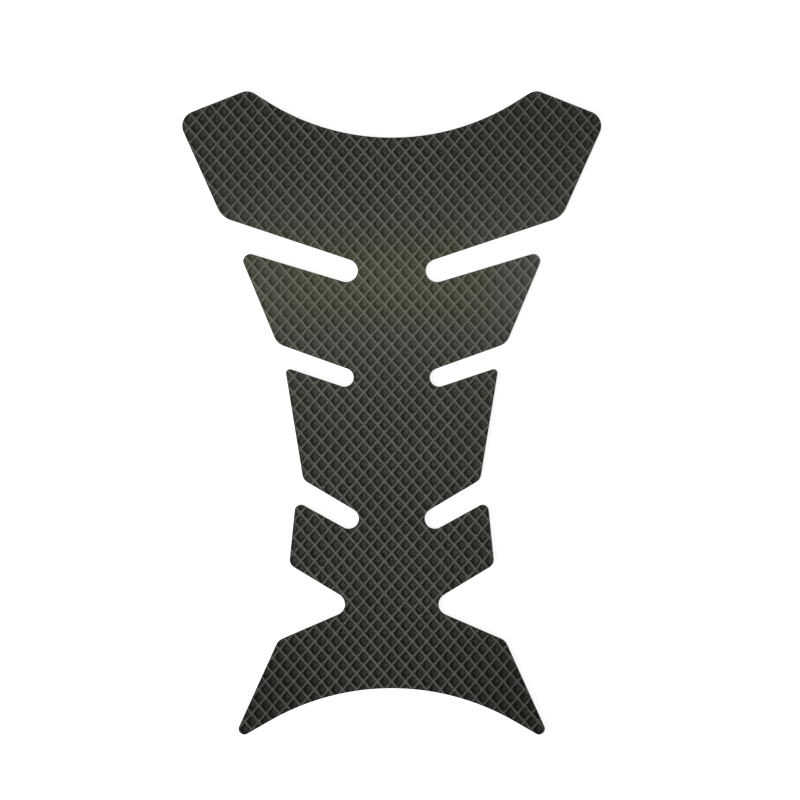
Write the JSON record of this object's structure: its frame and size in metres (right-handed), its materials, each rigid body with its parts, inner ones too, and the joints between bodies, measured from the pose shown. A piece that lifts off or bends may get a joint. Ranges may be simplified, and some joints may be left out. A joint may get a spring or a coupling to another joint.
{
  "type": "motorcycle tank pad",
  "caption": "Thin moulded rubber pad for a motorcycle's fuel tank, with a fish-bone outline of paired wings and slots, a raised diamond net on its face and a flat back.",
  "frame": {"origin": "on the flat underside, on the middle line and midway between the tops of the horns and the tips of the feet", "axes": "+X across the pad, +Y along it towards the horns, +Z out of the netted face, away from the tank"},
  "size_m": [0.1368, 0.21, 0.002],
  "materials": {
    "pad_rubber": "matt black moulded rubber with a faint warm tint, slightly glossier on the crests of the net"
  },
  "bodies": {
    "root": {"tank_pad": "pad_rubber"}
  },
  "joints": []
}
